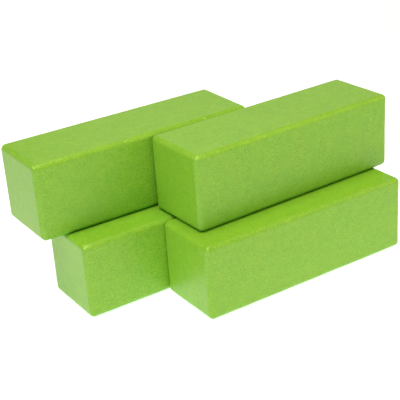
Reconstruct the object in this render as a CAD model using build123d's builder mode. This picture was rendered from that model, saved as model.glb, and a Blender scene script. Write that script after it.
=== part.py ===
"""A loose stack of floral foam bricks: two stand side by side on the table, and two lie on top of them.

Lengths are in millimetres and angles in degrees. +X runs along the bricks, +Y from the front row to the
rear row, and +Z up. The origin is on the table, in the middle of the stack's footprint.
"""

from build123d import *
from math import cos, radians, sin
import os

# One brick.
LENGTH = 230.0  # along X
WIDTH = 74.0  # along Y
HEIGHT = 75.0  # along Z
EDGE_RADIUS = 5.0  # all twelve edges are rounded alike

# The stack.
ROW_GAP = 0.4  # between the side faces of the two lower bricks

# Where each brick stands. RIGHT and BACK are how far its front left corner lies from the lower front
# brick's, along X and Y. TURN is how far it is turned about +Z, and LEVEL how many bricks are under it.
RIGHT, BACK, TURN, LEVEL = range(4)
LAYOUT = {
    "lower_front_brick": (0.0, 0.0, 0.0, 0),
    "lower_rear_brick": (-82.7, WIDTH + ROW_GAP, 0.0, 0),
    "upper_front_brick": (11.8, 26.4, 1.53, 1),
    "upper_rear_brick": (-107.0, 105.0, -0.33, 1),
}


def middle(place):
    """The X and Y of a brick's middle, measured from the lower front brick's front left corner."""
    turn = radians(place[TURN])
    along = cos(turn) * LENGTH / 2 - sin(turn) * WIDTH / 2
    across = sin(turn) * LENGTH / 2 + cos(turn) * WIDTH / 2
    return place[RIGHT] + along, place[BACK] + across


def reach(place):
    """How far a brick extends from its middle along X and along Y, with its rounded edges."""
    turn = radians(abs(place[TURN]))
    flat_length = LENGTH / 2 - EDGE_RADIUS
    flat_width = WIDTH / 2 - EDGE_RADIUS
    along = flat_length * cos(turn) + flat_width * sin(turn) + EDGE_RADIUS
    across = flat_length * sin(turn) + flat_width * cos(turn) + EDGE_RADIUS
    return along, across


def middle_of_stack():
    """The X and Y of the middle of the whole stack's box, measured from the same corner."""
    lows, highs = [], []
    for place in LAYOUT.values():
        (x, y), (half_x, half_y) = middle(place), reach(place)
        lows.append((x - half_x, y - half_y))
        highs.append((x + half_x, y + half_y))
    low_x, low_y = (min(values) for values in zip(*lows))
    high_x, high_y = (max(values) for values in zip(*highs))
    return (low_x + high_x) / 2, (low_y + high_y) / 2


def underside(place):
    """The plane of a brick's underside, with its origin in the brick's middle and X along the brick."""
    x, y = middle(place)
    stack_x, stack_y = middle_of_stack()
    turn = radians(place[TURN])
    return Plane(
        origin=(x - stack_x, y - stack_y, place[LEVEL] * HEIGHT),
        x_dir=(cos(turn), sin(turn), 0),
        z_dir=(0, 0, 1),
    )


def foam_brick(name, place):
    """One solid brick of foam, a block with every edge and corner rounded."""
    with BuildPart() as brick:
        with BuildSketch(underside(place)):
            Rectangle(LENGTH, WIDTH)
        extrude(amount=HEIGHT)
        fillet(brick.edges(), radius=EDGE_RADIUS)
    brick.part.label = name
    return brick.part


os.makedirs("parts", exist_ok=True)
for name, place in LAYOUT.items():
    export_step(foam_brick(name, place), f"parts/{name}.step")
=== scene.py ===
"""The looks of a loose stack of floral foam bricks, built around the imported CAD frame.

Every length is in metres, unless it is written as a number times MM. Angles are in degrees.
"""

from math import atan2, cos, pi, radians, sin, sqrt, tan

import bpy
import numpy as np
from mathutils import Matrix, Vector


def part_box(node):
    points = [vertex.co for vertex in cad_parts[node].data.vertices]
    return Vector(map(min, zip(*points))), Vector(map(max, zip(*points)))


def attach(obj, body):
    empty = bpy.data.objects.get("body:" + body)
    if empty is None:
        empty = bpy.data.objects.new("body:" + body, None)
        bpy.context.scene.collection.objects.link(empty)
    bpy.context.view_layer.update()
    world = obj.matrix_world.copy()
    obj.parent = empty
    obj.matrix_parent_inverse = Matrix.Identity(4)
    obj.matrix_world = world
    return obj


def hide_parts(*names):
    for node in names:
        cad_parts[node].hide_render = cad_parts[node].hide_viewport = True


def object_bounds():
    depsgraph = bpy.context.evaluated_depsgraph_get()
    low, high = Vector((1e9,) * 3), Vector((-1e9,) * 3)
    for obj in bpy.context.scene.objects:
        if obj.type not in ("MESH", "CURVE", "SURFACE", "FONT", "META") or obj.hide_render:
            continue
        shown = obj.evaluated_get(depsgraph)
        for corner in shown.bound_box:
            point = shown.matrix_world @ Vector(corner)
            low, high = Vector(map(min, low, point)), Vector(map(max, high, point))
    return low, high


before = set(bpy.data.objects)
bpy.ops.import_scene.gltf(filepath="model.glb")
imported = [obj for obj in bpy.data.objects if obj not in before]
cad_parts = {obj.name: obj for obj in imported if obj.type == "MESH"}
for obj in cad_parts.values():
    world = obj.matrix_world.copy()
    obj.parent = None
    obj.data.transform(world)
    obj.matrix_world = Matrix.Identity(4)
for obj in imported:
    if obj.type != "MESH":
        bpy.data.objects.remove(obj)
CAD_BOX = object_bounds()

MM = 0.001

# ------------------------------------------------------------------------------------ the bricks

EDGE_RADIUS = 5 * MM  # as in the CAD
MESH_STEP = 1.1 * MM  # on the flat faces
ARC_STEPS = 6  # from a flat face to the middle of a rounded edge

# Each brick's node, with its body and the seed of all that makes it differ from the others.
BRICKS = {
    "lower_front_brick": ("lower_front", 11),
    "lower_rear_brick": ("lower_rear", 23),
    "upper_front_brick": ("upper_front", 37),
    "upper_rear_brick": ("upper_rear", 53),
}

# The spots that show on each brick, rubbed ones and painted glints: how far right, back and up of its
# middle they lie, their radius and how deep they go, all in mm, and how pale the skin is there, from 0 to
# 1.
RUBBED_SPOTS_AND_GLINTS = {
    "lower_front_brick": [
        # painted glint: the pale fleck on the front top left corner
        (-115, -37, 37.5, 1.5, 0.3, 0.75),
        (-115, -37, 21, 2.4, 0.2, 0.3),
        (-108, -37, 21, 1.4, 0.1, 0.5),
        (17, -37, -1, 1.5, 0.1, 0.4),
        (60, -37, 24, 1.6, 0.15, 0.5),
    ],
    "lower_rear_brick": [
        (-115, -37, 37.5, 1.8, 0.5, 0.85),
        (-113, -34, 37.5, 2.0, 0.2, 0.45),
        (-112, -37, 37.5, 1.6, 0.3, 0.6),
        (-110, -35, 37.5, 1.6, 0.2, 0.5),
        (-108, -37, 37.5, 4.5, 0.1, 0.35),
        (-103, -11, 37.5, 1.5, 0.1, 0.7),
        (-35, -37, 8, 1.3, 0.2, 0.3),
        (-32, -37, 6, 1.2, 0.2, 0.3),
    ],
    "upper_front_brick": [
        # painted glint: the pale fleck on the front top left corner
        (-115, -37, 37.5, 1.6, 0.3, 1.0),
        (-111, -37, 37.5, 3.5, 0.1, 0.3),
        (-115, -37, 33, 1.2, 0.1, 0.4),
        (-38, -37, 36, 1.8, 0.2, 0.5),
        # painted highlight: a faint pale streak low on the front left edge
        (-115, -37, -26, 3.0, 0.25, 0.2),
    ],
    "upper_rear_brick": [
        (-115, -37, 37.5, 1.7, 0.4, 0.6),
        (-115, -34, 37.5, 1.8, 0.3, 0.6),
        (-109, -37, 37.5, 4.0, 0.1, 0.25),
    ],
}

# More small dents, at random places along a brick's edges and on its faces.
EDGE_KNOCKS = 9
FACE_KNOCKS = 5
KNOCK_REACH = 0.95  # the furthest from the brick's middle, along its half sizes
KNOCK_RADII = (1.2, 3.0)  # mm
KNOCK_DEPTHS = (0.1, 0.35)  # mm
KNOCK_PALENESS = (0.1, 0.6)

# The faces bow and ripple a little, and the rounded edges are rubbed away unevenly.
BOW_SPACING = 70 * MM
BOW_DEPTH = 0.14 * MM
RIPPLE_SPACING = 8 * MM
RIPPLE_DEPTH = 0.05 * MM
RUB_SPACING = 22 * MM
RUB_DEPTH = 0.35 * MM

# A random field of waves: how many there are, how their lengths vary about the spacing, and what their sum,
# which spreads about 1 either way, is multiplied by.
WAVE_COUNT = 28
WAVE_LENGTHS = (0.7, 1.5)
WAVE_STRENGTH = 0.25

# Where a change across the skin starts and ends. The roundness is 0 on a flat face. UP and DOWN say how far
# the skin faces up or down, 1 being straight that way and -1 straight the other.
ROUNDNESS_OF_RUBBED = (0.0, 0.2)
UP_OF_UNEVEN = (-1.0, -0.7)
# painted highlight: the worn edges' lighter colour shows where they face up
UP_OF_EDGE_HIGHLIGHT = (0.0, 0.5)
# painted shade: the skin darkens as it faces down
DOWN_OF_UNDERSIDE_SHADE = (0.1, 0.7)

SAME_HEIGHT = 0.01 * MM  # within which corners of the CAD mesh lie in its top face


def turn_of(node):
    """How far a CAD brick is turned about +Z, in radians, from the corners of its flat top."""
    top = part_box(node)[1].z
    corners = np.array([v.co[:2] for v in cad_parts[node].data.vertices if v.co.z > top - SAME_HEIGHT])
    spread = np.cov(corners.T)
    return atan2(2 * spread[0, 1], spread[0, 0] - spread[1, 1]) / 2


def stations(half):
    """Where the grid lines cross one axis of a block that reaches from -half to half: even steps on the
    flat, and steps of equal angle round each edge."""
    flat = half - EDGE_RADIUS
    count = round(2 * flat / MESH_STEP)
    arc = [flat + EDGE_RADIUS * tan(radians(45 * k / ARC_STEPS)) for k in range(1, ARC_STEPS + 1)]
    return np.array([-a for a in reversed(arc)] + list(np.linspace(-flat, flat, count + 1)) + arc)


def sharp_block(half_sizes):
    """Grid points on a sharp block's surface, and the four-sided faces between them, turned outwards."""
    axes = [stations(half) for half in half_sizes]
    ends = [(0, len(a) - 1) for a in axes]
    on_surface = np.zeros([len(a) for a in axes], bool)
    for axis in range(3):
        on_surface[tuple(ends[axis] if k == axis else slice(None) for k in range(3))] = True
    number = np.cumsum(on_surface).reshape(on_surface.shape) - 1
    places = np.argwhere(on_surface)
    points = np.stack([axes[k][places[:, k]] for k in range(3)], axis=1)
    faces = []
    for axis in range(3):
        for end in ends[axis]:
            sheet = np.take(number, end, axis)
            quads = np.stack([sheet[:-1, :-1], sheet[1:, :-1], sheet[1:, 1:], sheet[:-1, 1:]], axis=-1)
            # Taken in order, the two other axes of the sheet are right-handed about X and Z, but not Y.
            if (end > 0) == (axis == 1):
                quads = quads[..., ::-1]
            faces.append(quads.reshape(-1, 4))
    return points, np.concatenate(faces)


def rounded(points, half_sizes):
    """The points pushed in from the sharp block onto the rounded one, and the directions outwards there."""
    core = np.clip(points, EDGE_RADIUS - half_sizes, half_sizes - EDGE_RADIUS)
    outwards = points - core
    outwards /= np.linalg.norm(outwards, axis=1)[:, None]
    return core + EDGE_RADIUS * outwards, outwards


def smooth_step(value, low, high):
    """0 up to low and 1 from high on, with a smooth step between them."""
    t = np.clip((value - low) / (high - low), 0, 1)
    return t * t * (3 - 2 * t)


def waves(points, rng, spacing):
    """A smooth random field over the points, from 0 to 1, with its humps about that far apart."""
    directions = rng.normal(size=(WAVE_COUNT, 3))
    directions /= np.linalg.norm(directions, axis=1)[:, None]
    lengths = spacing * rng.uniform(*WAVE_LENGTHS, WAVE_COUNT)
    phases = rng.uniform(0, 2 * pi, WAVE_COUNT)
    angles = points @ (2 * pi * directions / lengths[:, None]).T + phases
    field = np.sin(angles).sum(axis=1) * sqrt(2 / WAVE_COUNT)
    return np.clip(0.5 + WAVE_STRENGTH * field, 0, 1)


def knocks(node, half_sizes, rng):
    """Every spot where a brick is worn or dented, painted glints among them: its place on the sharp block,
    its radius, how deep it goes, and how pale it is."""
    for *place, radius, depth, paleness in RUBBED_SPOTS_AND_GLINTS[node]:
        yield np.array(place) * MM, radius * MM, depth * MM, paleness
    for k in range(EDGE_KNOCKS + FACE_KNOCKS):
        place = half_sizes * rng.uniform(-KNOCK_REACH, KNOCK_REACH, 3)
        sides = rng.permutation(3)[: 2 if k < EDGE_KNOCKS else 1]
        place[sides] = half_sizes[sides] * rng.choice((-1, 1), len(sides))
        radius = rng.uniform(*KNOCK_RADII) * MM
        depth = rng.uniform(*KNOCK_DEPTHS) * MM
        yield place, radius, depth, rng.uniform(*KNOCK_PALENESS)


def worn(points, outwards, half_sizes, node, seed):
    """How deep each point lies under the ideal rounded block, and how pale, worn-and-highlit and shaded the
    skin
    is there, from 0 to 1: pale for worn flecks and painted glints, a painted highlight on the worn edges
    that face up, and painted shade where the skin faces down. Nothing lies outside that block, and the bow
    and ripple leave the underside out."""
    rng = np.random.default_rng(seed)
    up = outwards[:, 2]
    roundness = 1 - np.abs(outwards).max(axis=1)
    rubbed_and_highlit = smooth_step(roundness, *ROUNDNESS_OF_RUBBED) * waves(points, rng, RUB_SPACING)
    uneven = BOW_DEPTH * waves(points, rng, BOW_SPACING) + RIPPLE_DEPTH * waves(points, rng, RIPPLE_SPACING)
    depth = uneven * smooth_step(up, *UP_OF_UNEVEN) + RUB_DEPTH * rubbed_and_highlit
    pale = np.zeros(len(points))
    for place, radius, deepest, paleness in knocks(node, half_sizes, rng):
        middle = rounded(place[None], half_sizes)[0]
        near = np.clip(1 - ((points - middle) ** 2).sum(axis=1) / radius**2, 0, 1) ** 2
        depth = depth + deepest * near
        pale = np.maximum(pale, paleness * near)
    # The edge colour is a painted highlight as well as rubbing, so it keeps to the edges that face up.
    rubbed_and_highlit = rubbed_and_highlit * smooth_step(up, *UP_OF_EDGE_HIGHLIGHT)
    # Painted shade: the skin is darker where it faces down.
    underside_shade = smooth_step(-up, *DOWN_OF_UNDERSIDE_SHADE)
    return depth, {"pale": pale, "rubbed_and_highlit": rubbed_and_highlit, "underside_shade": underside_shade}


def make_brick(node, body, seed):
    """A brick's worn skin, which stands for its CAD node."""
    # All the bricks are one size, and this one isn't turned, so its box gives that size.
    low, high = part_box("lower_front_brick")
    half_sizes = np.array((high - low) / 2)
    points, faces = sharp_block(half_sizes)
    points, outwards = rounded(points, half_sizes)
    depth, looks = worn(points, outwards, half_sizes, node, seed)
    points -= depth[:, None] * outwards
    mesh = bpy.data.meshes.new(node + "_skin")
    mesh.from_pydata(points.tolist(), [], faces.tolist())
    mesh.polygons.foreach_set("use_smooth", [True] * len(faces))
    for name, values in looks.items():
        mesh.attributes.new(name, "FLOAT", "POINT").data.foreach_set("value", values)
    low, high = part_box(node)
    mesh.transform(Matrix.Translation((low + high) / 2) @ Matrix.Rotation(turn_of(node), 4, "Z"))
    mesh.update()
    skin = bpy.data.objects.new(node + "_skin", mesh)
    bpy.context.scene.collection.objects.link(skin)
    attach(skin, body)
    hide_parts(node)
    return skin


# -------------------------------------------------------------------------------- the materials

# The skin's colours: two greens that it drifts between, the dust on its grain, its worn edges with a
# painted highlight where they face up, its pale spots, worn flecks and painted glints, the painted shade in
# its pores, and the painted shade on its underside.
YELLOWER = (0.250, 0.514, 0.004)
BLUER = (0.170, 0.500, 0.007)
DUSTY = (0.60, 0.66, 0.38)
RUBBED_AND_HIGHLIT_GREEN = (0.27, 0.57, 0.014)
PALE_GREEN = (0.44, 0.76, 0.10)
PORE_SHADE_GREEN = (0.14, 0.36, 0.012)
UNDERSIDE_SHADE_GREEN = (0.12, 0.43, 0.006)

# The patterns on the skin, and how far apart their humps are.
GRAIN_STRETCH = (0.6, 1, 1)  # the grain and the fine drift are longer along the brick
GRAIN_SPACING = 0.85 * MM
FINE_DRIFT_SPACING = 1.4 * MM
BROAD_DRIFT_SPACING = 14 * MM
MOTTLE_SPACING = 7 * MM
PORE_SPACING = 0.65 * MM
PORE_SIZES = (0.1, 0.4)  # a pore is full depth and ends this far from its middle, in spacings

# How far each pattern goes. The drifts add up to the share of the yellower green, the shades add up to what
# the colour is multiplied by, and each share is how much of the colour turns into another.
FINE_DRIFT = (0.2, 0.8)
BROAD_DRIFT = (-0.15, 0.15)
GRAIN_SHADE = (0.86, 1.14)
MOTTLE_SHADE = (-0.04, 0.04)
DUSTY_SHARE = (0.0, 0.14)
EDGE_SHARE = (0.0, 0.5)
UNDERSIDE_SHADE_SHARE = 0.8
PORE_SHADE_SHARE = 0.4

FULLY_RUBBED_AND_HIGHLIT = 0.7  # where the edge colour has its whole share

# Pale spots, worn flecks and painted glints both, are broken up by the grain: over the first range of the
# grain their paleness is multiplied by the second, and over the third range of that product the pale green
# takes over.
GRAIN_OF_SPECKLES = (0.3, 0.6)
SPECKLING = (0.6, 1.5)
SPECKLED = (0.15, 0.75)

# The gloss and the relief.
REFRACTION = 1.44
GRAIN_ROUGHNESS = (0.28, 0.43)
PORE_ROUGHNESS = 0.15
PORE_DEPTH = 0.7  # in bump heights
BUMP_STRENGTH = 0.5
BUMP_HEIGHT = 0.1 * MM

NOISE_RANGE = (0.3, 0.7)  # most of a noise lies between these
WHITE = (1, 1, 1, 1)

# The floor glows so that it looks white: more under the stack, where it lies in shade, and far away, where
# the lamps don't reach. The distances are from the stack's middle.
FLOOR_GRAY = (0.8, 0.8, 0.8, 1)
FLOOR_ROUGHNESS = 0.6
NEAR_DISTANCES = (0.2, 0.6)
NEAR_GLOW = (0.78, 0.54)
FAR_DISTANCES = (0.8, 2.4)
FAR_GLOW = (0.0, 0.34)


def new_material(name):
    """A new material with that name, and its shader."""
    material = bpy.data.materials.new(name)
    material.use_nodes = True
    return material, material.node_tree.nodes["Principled BSDF"]


def add(tree, kind, inputs, **settings):
    """A new node with those settings. Each input is a value or another node's output."""
    node = tree.nodes.new("ShaderNode" + kind)
    for name, value in settings.items():
        setattr(node, name, value)
    for name, value in inputs.items():
        if isinstance(value, bpy.types.NodeSocket):
            tree.links.new(value, node.inputs[name])
        else:
            node.inputs[name].default_value = value
    return node


def noise(tree, place, spacing, detail=2.0):
    """A smooth random pattern with its humps about that far apart."""
    inputs = {"Vector": place, "Scale": 1 / spacing, "Detail": detail}
    return add(tree, "TexNoise", inputs).outputs["Fac"]


def rescaled(tree, value, old_range, new_range=(0.0, 1.0)):
    """The value, with the old range stretched over the new one and held inside it."""
    (low, high), (new_low, new_high) = old_range, new_range
    inputs = {"Value": value, "From Min": low, "From Max": high, "To Min": new_low, "To Max": new_high}
    return add(tree, "MapRange", inputs).outputs["Result"]


def mixed(tree, factor, first, second, blend_type="MIX"):
    """The first colour with that share of the second mixed in. Each is three numbers or a node's output."""
    colors = {"Fac": factor}
    for name, color in (("Color1", first), ("Color2", second)):
        colors[name] = (*color, 1) if isinstance(color, tuple) else color
    return add(tree, "MixRGB", colors, blend_type=blend_type).outputs["Color"]


def calculated(tree, operation, first, second):
    """The sum, difference or product of two values, each a number or a node's output."""
    node = add(tree, "Math", {}, operation=operation)
    for socket, value in zip(node.inputs, (first, second)):
        if isinstance(value, bpy.types.NodeSocket):
            tree.links.new(value, socket)
        else:
            socket.default_value = value
    return node.outputs["Value"]


def from_mesh(tree, name):
    """What the mesh holds under that name, point by point."""
    return add(tree, "Attribute", {}, attribute_name=name).outputs["Fac"]


def foam_color(tree, place, along, grain, pores):
    """Lime green that drifts and mottles, dusty on the grain, with painted shade in the pores and on the
    underside, a painted highlight on worn edges that face up, and pale worn flecks and painted glints.
    """
    mottle = noise(tree, place, MOTTLE_SPACING)
    fine = rescaled(tree, noise(tree, along, FINE_DRIFT_SPACING, detail=3), NOISE_RANGE, FINE_DRIFT)
    broad = rescaled(tree, noise(tree, place, BROAD_DRIFT_SPACING), NOISE_RANGE, BROAD_DRIFT)
    color = mixed(tree, calculated(tree, "ADD", fine, broad), BLUER, YELLOWER)

    # Painted highlight, on top of rubbing: the worn edges that face up turn a lighter green.
    edge = from_mesh(tree, "rubbed_and_highlit")
    color = mixed(tree, rescaled(tree, edge, (0.0, FULLY_RUBBED_AND_HIGHLIT), EDGE_SHARE), color, RUBBED_AND_HIGHLIT_GREEN)
    # Painted shade: the skin facing down turns a darker green.
    underside_shade = from_mesh(tree, "underside_shade")
    color = mixed(tree, calculated(tree, "MULTIPLY", underside_shade, UNDERSIDE_SHADE_SHARE), color, UNDERSIDE_SHADE_GREEN)
    # Painted shade in the pores: they turn a darker green.
    color = mixed(tree, calculated(tree, "MULTIPLY", pores, PORE_SHADE_SHARE), color, PORE_SHADE_GREEN)

    grain_shade = rescaled(tree, grain, NOISE_RANGE, GRAIN_SHADE)
    mottle_shade = rescaled(tree, mottle, NOISE_RANGE, MOTTLE_SHADE)
    shade = calculated(tree, "ADD", grain_shade, mottle_shade)
    color = mixed(tree, 1.0, color, shade, "MULTIPLY")
    color = mixed(tree, rescaled(tree, grain, NOISE_RANGE, DUSTY_SHARE), color, DUSTY)

    # Pale spots: worn flecks and painted glints, broken up by the grain.
    speckling = rescaled(tree, grain, GRAIN_OF_SPECKLES, SPECKLING)
    speckled = calculated(tree, "MULTIPLY", from_mesh(tree, "pale"), speckling)
    return mixed(tree, rescaled(tree, speckled, SPECKLED), color, PALE_GREEN)


def foam():
    """Lime green foam with a close, satin skin: fine pores with painted shade, a mottled colour, pale worn
    flecks and painted glints, a painted highlight on edges that face up, and painted shade on the
    underside.
    """
    material, shader = new_material("green_foam")
    tree = material.node_tree
    place = add(tree, "TexCoord", {}).outputs["Object"]
    along = add(tree, "VectorMath", {0: place, 1: GRAIN_STRETCH}, operation="MULTIPLY").outputs["Vector"]
    grain = noise(tree, along, GRAIN_SPACING, detail=5)
    cells = add(tree, "TexVoronoi", {"Vector": place, "Scale": 1 / PORE_SPACING}).outputs["Distance"]
    pores = rescaled(tree, cells, PORE_SIZES, (1.0, 0.0))
    tree.links.new(foam_color(tree, place, along, grain, pores), shader.inputs["Base Color"])

    shader.inputs["IOR"].default_value = REFRACTION
    roughness = rescaled(tree, grain, NOISE_RANGE, GRAIN_ROUGHNESS)
    roughness = calculated(tree, "ADD", roughness, calculated(tree, "MULTIPLY", pores, PORE_ROUGHNESS))
    tree.links.new(roughness, shader.inputs["Roughness"])
    height = calculated(tree, "SUBTRACT", grain, calculated(tree, "MULTIPLY", pores, PORE_DEPTH))
    relief = {"Height": height, "Strength": BUMP_STRENGTH, "Distance": BUMP_HEIGHT}
    tree.links.new(add(tree, "Bump", relief).outputs["Normal"], shader.inputs["Normal"])
    return material


def white_floor():
    """A pale floor that glows a little, so that it looks white all over."""
    material, shader = new_material("white_floor")
    shader.inputs["Base Color"].default_value = FLOOR_GRAY
    shader.inputs["Roughness"].default_value = FLOOR_ROUGHNESS
    shader.inputs["Emission Color"].default_value = WHITE
    tree = material.node_tree
    place = add(tree, "TexCoord", {}).outputs["Object"]
    distance = add(tree, "VectorMath", {0: place}, operation="LENGTH").outputs["Value"]
    near = rescaled(tree, distance, NEAR_DISTANCES, NEAR_GLOW)
    far = rescaled(tree, distance, FAR_DISTANCES, FAR_GLOW)
    tree.links.new(calculated(tree, "ADD", near, far), shader.inputs["Emission Strength"])
    return material


FOAM = foam()
for node, (body, seed) in BRICKS.items():
    make_brick(node, body, seed).data.materials.append(FOAM)

# ------------------------------------------------------------------------------------ the studio

FLOOR_SIZE = 30.0
ROOM_LIGHT = 0.19  # of the white that the camera sees

# Each square lamp's azimuth from the front and its elevation, in degrees, its distance from the stack's
# middle and the length of its side, in metres, its power in watts, and its colour.
LAMPS = {
    "key": (-60, 65, 1.6, 1.0, 16.5, (1.0, 0.95, 0.9)),
    "overhead": (0, 88, 1.3, 0.5, 5.6, (1.0, 0.77, 0.5)),
    "fill": (50, 30, 1.3, 0.5, 2.7, (1.0, 0.75, 0.4)),
    "rear": (145, 35, 1.6, 1.0, 1.7, (1.0, 1.0, 1.0)),
}

bpy.ops.mesh.primitive_plane_add(size=FLOOR_SIZE)
floor = bpy.context.object
floor.name = "studio_floor"
floor.data.materials.append(white_floor())


def white_room():
    """A room that lights the stack dimly from all round, and looks white behind it."""
    world = bpy.data.worlds.new("white_room")
    world.use_nodes = True
    tree = world.node_tree
    seen = add(tree, "LightPath", {}).outputs["Is Camera Ray"]
    background = tree.nodes["Background"]
    background.inputs["Color"].default_value = WHITE
    tree.links.new(rescaled(tree, seen, (0.0, 1.0), (ROOM_LIGHT, 1.0)), background.inputs["Strength"])
    return world


bpy.context.scene.world = white_room()


def softbox(name, azimuth, elevation, distance, size, power, color):
    """A square lamp that looks at the stack's middle from that side, azimuth 0 being in front of it."""
    lamp = bpy.data.lights.new(name, "AREA")
    lamp.size = size
    lamp.energy = power
    lamp.color = color
    light = bpy.data.objects.new(name, lamp)
    a, e = radians(azimuth), radians(elevation)
    away = Vector((sin(a) * cos(e), -cos(a) * cos(e), sin(e)))
    middle = (CAD_BOX[0] + CAD_BOX[1]) / 2
    light.location = middle + distance * away
    light.rotation_euler = away.to_track_quat("Z", "Y").to_euler()
    bpy.context.scene.collection.objects.link(light)


for name, settings in LAMPS.items():
    softbox(name, *settings)

# ------------------------------------------------------------------------------------ the camera

VIEW_AZIMUTH = -31.88
VIEW_ELEVATION = 24.72
VIEW_ROLL = -4.13
CAMERA = Vector((-495.1, -772.1, 493.1)) * MM
LENS_MM = 93.46
SENSOR_MM = 36


def make_camera():
    """The camera, where the photographer's stood."""
    data = bpy.data.cameras.new("camera")
    data.lens = LENS_MM
    data.sensor_width = SENSOR_MM
    camera = bpy.data.objects.new("camera", data)
    turn = Matrix.Rotation(radians(VIEW_AZIMUTH), 4, "Z")
    tilt = Matrix.Rotation(radians(90 - VIEW_ELEVATION), 4, "X")
    roll = Matrix.Rotation(radians(VIEW_ROLL), 4, "Z")
    camera.matrix_world = Matrix.Translation(CAMERA) @ turn @ tilt @ roll
    bpy.context.scene.collection.objects.link(camera)
    bpy.context.scene.camera = camera


make_camera()
bpy.context.scene.view_settings.view_transform = "Standard"
